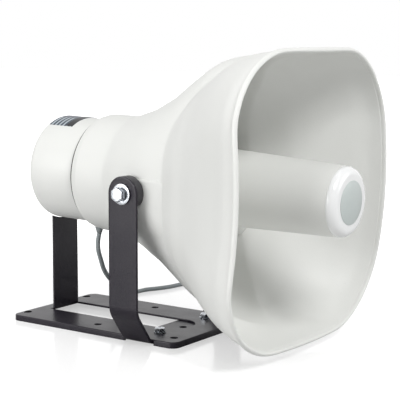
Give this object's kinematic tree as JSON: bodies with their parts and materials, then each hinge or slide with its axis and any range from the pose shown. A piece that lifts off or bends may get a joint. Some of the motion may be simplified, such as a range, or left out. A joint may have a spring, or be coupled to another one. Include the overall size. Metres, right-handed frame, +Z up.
{
  "type": "horn loudspeaker",
  "caption": "Re-entrant horn loudspeaker with a rounded square mouth, round driver cover and a black pressed steel stand with side pivots.",
  "frame": {"origin": "bottom centre of the loudspeaker's box without its cable, on the ground plane of the base plate", "axes": "mouth faces -Y, the horn's right-hand side as it faces is -X, +Z up"},
  "size_m": [0.3903, 0.3806, 0.2994],
  "materials": {
    "plate_paint": "gloss black paint",
    "bracket_paint": "gloss black paint",
    "zinc": "bright zinc plate",
    "dark_steel": "dark spring steel",
    "spacer_black": "black moulding, satin",
    "brass": "plain",
    "horn_white": "off-white moulding, semi-gloss",
    "cap_white": "white, glossy",
    "label_grey": "greenish grey film, plain",
    "label_blue": "dark blue-grey film, plain",
    "label_black": "black band",
    "seal_rubber": "grey rubber",
    "ferrite": "dark ferrite",
    "driver_steel": "grey zinc passivate",
    "copper": "enamelled copper",
    "film": "amber film",
    "plug_black": "black moulding",
    "core_steel": "varnished laminations",
    "block_black": "black moulding",
    "cable_grey": "grey PVC sheath, smooth"
  },
  "bodies": {
    "stand": {"base_plate": "plate_paint", "u_bracket": "bracket_paint", "web_bolts": "zinc", "star_washers": "zinc", "spacers": "spacer_black", "cable": "cable_grey", "cable_coil": "cable_grey", "cable_end": "copper"},
    "horn": {"pivot_bolts": "zinc", "plain_washers": "zinc", "spring_washers": "dark_steel", "thread_inserts": "brass", "horn_bell": "horn_white", "reflector": "horn_white", "front_cap": "cap_white", "cap_label": "label_grey", "inner_horn": "horn_white", "seam_ring": "seal_rubber", "rear_cover": "horn_white", "rating_label": "label_blue", "label_stripe": "label_black", "driver_back": "driver_steel", "driver_magnet": "ferrite", "driver_top": "driver_steel", "voice_coil": "copper", "diaphragm": "film", "phase_plug": "plug_black", "driver_screws": "zinc", "transformer_core": "core_steel", "transformer_coil": "copper", "terminal_block": "block_black", "cable_grommet": "block_black"}
  },
  "joints": [
    {"name": "horn_tilt", "type": "hinge", "parent": "stand", "child": "horn", "pos_m": [0, 0.01433, 0.155], "axis": [1, 0, 0], "range_deg": [0, 12]}
  ]
}
